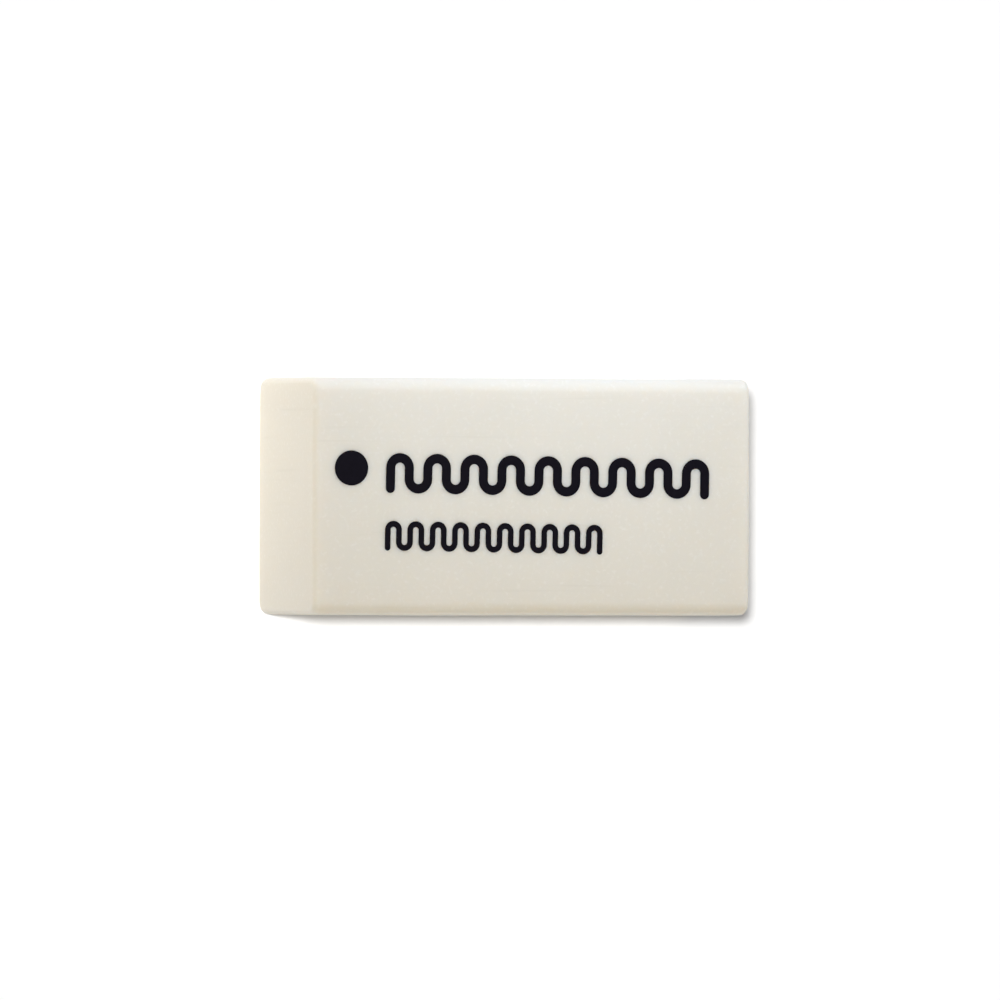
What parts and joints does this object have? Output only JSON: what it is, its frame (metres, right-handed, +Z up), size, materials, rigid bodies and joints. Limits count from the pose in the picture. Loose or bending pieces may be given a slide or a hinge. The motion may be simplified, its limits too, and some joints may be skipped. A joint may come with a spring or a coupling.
{
  "type": "vinyl eraser",
  "caption": "Rectangular block of cream-white vinyl for rubbing out pencil, with moulded round long edges, softened cut ends and a flat underside to rest on.",
  "frame": {"origin": "centre of the flat underside, on the surface that the block rests on", "axes": "+X along the length from one cut end to the other, +Y across the width, +Z up through the thickness towards the printed face"},
  "size_m": [0.033, 0.017, 0.013],
  "materials": {
    "vinyl": "matte",
    "print_ink": "satin"
  },
  "bodies": {
    "root": {"eraser": "vinyl"}
  },
  "joints": []
}
